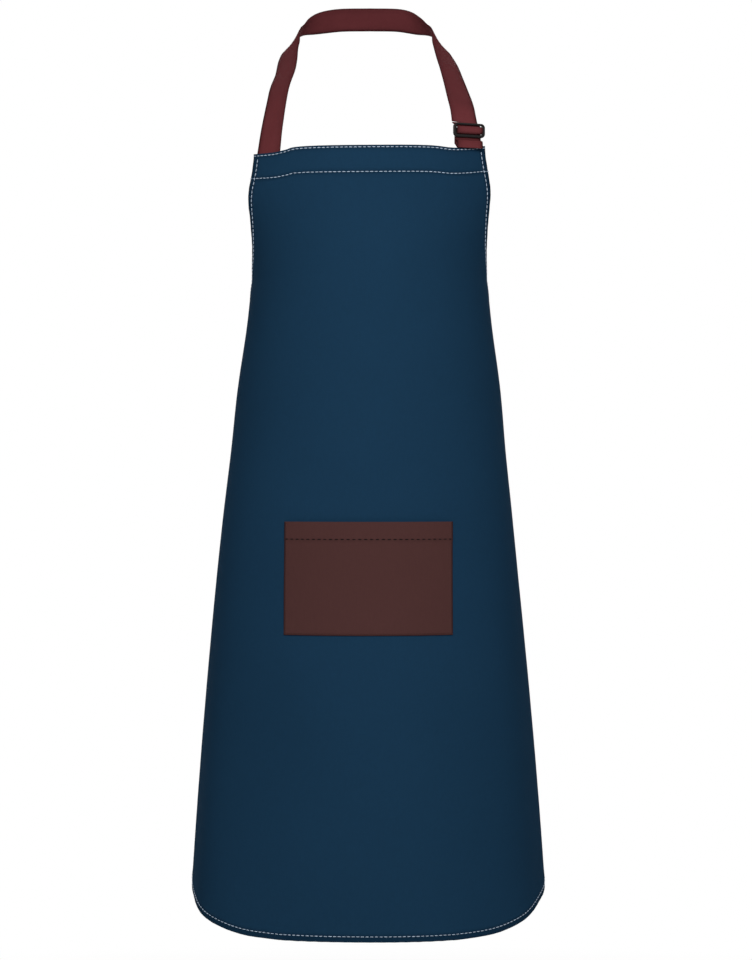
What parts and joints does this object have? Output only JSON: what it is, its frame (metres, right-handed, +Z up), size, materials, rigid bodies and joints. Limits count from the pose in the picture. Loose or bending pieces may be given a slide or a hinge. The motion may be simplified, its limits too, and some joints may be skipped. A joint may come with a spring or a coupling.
{
  "type": "bib apron",
  "caption": "Full-length navy cloth bib apron with contrast stitching, a brown patch pocket and a brown neck strap adjusted by a dark three-bar slider.",
  "frame": {"origin": "Middle of the neck strap's inner face, where it rests on the nape of the wearer's neck.", "axes": "+Z up along the worn apron, front of the apron towards -Y, +X to the right seen from the front (the wearer's left)."},
  "size_m": [0.3988, 0.2209, 1.0385],
  "materials": {
    "apron_cloth": "navy cotton twill, matt",
    "pocket_cloth": "dark red-brown twill, matt",
    "strap_webbing": "red-brown woven webbing with darker edges",
    "tie_webbing": "red-brown woven webbing",
    "contrast_thread": "pale grey sewing thread",
    "pocket_thread": "dark brown sewing thread",
    "slider_plastic": "near-black moulded plastic"
  },
  "bodies": {
    "strap": {"neck_strap_nape": "strap_webbing", "neck_strap_left": "strap_webbing", "neck_strap_right": "strap_webbing"},
    "apron": {"apron_panel": "apron_cloth", "top_hem": "apron_cloth", "side_hem_left": "apron_cloth", "side_hem_right": "apron_cloth", "bottom_hem": "apron_cloth", "top_edge_stitches": "contrast_thread", "top_hem_stitches": "contrast_thread", "side_stitches_left": "contrast_thread", "side_stitches_right": "contrast_thread", "bottom_stitches": "contrast_thread", "pocket_cloth": "pocket_cloth", "pocket_hem": "pocket_cloth", "pocket_hem_stitches": "pocket_thread", "pocket_seam_stitches": "pocket_thread", "strap_foot_left": "strap_webbing", "tab_foot_right": "strap_webbing", "tie_end_left": "tie_webbing", "tie_end_right": "tie_webbing", "strap_tab": "strap_webbing"},
    "slider": {"slider_frame": "slider_plastic", "strap_over_bar": "strap_webbing"},
    "tail": {"strap_tail": "strap_webbing", "tail_end": "strap_webbing"}
  },
  "joints": [
    {"name": "strap_adjust", "type": "slide", "parent": "strap", "child": "apron", "axis": [0, 0, 1], "range_m": [0, 0.05], "deforming": ["neck_strap_left", "neck_strap_right"]},
    {"name": "tail_feed", "type": "slide", "parent": "apron", "child": "tail", "axis": [0, 0, -1], "range_m": [0, 0.1], "deforming": ["strap_tail"]},
    {"name": "slider_tilt", "type": "hinge", "parent": "apron", "child": "slider", "pos_m": [0.109, -0.16344, -0.1482], "axis": [-0.9135, -0.4067, 0], "range_deg": [0, 25]}
  ],
  "couplings": [
    {"joint": "tail_feed", "follows": "strap_adjust", "ratio": 2}
  ]
}
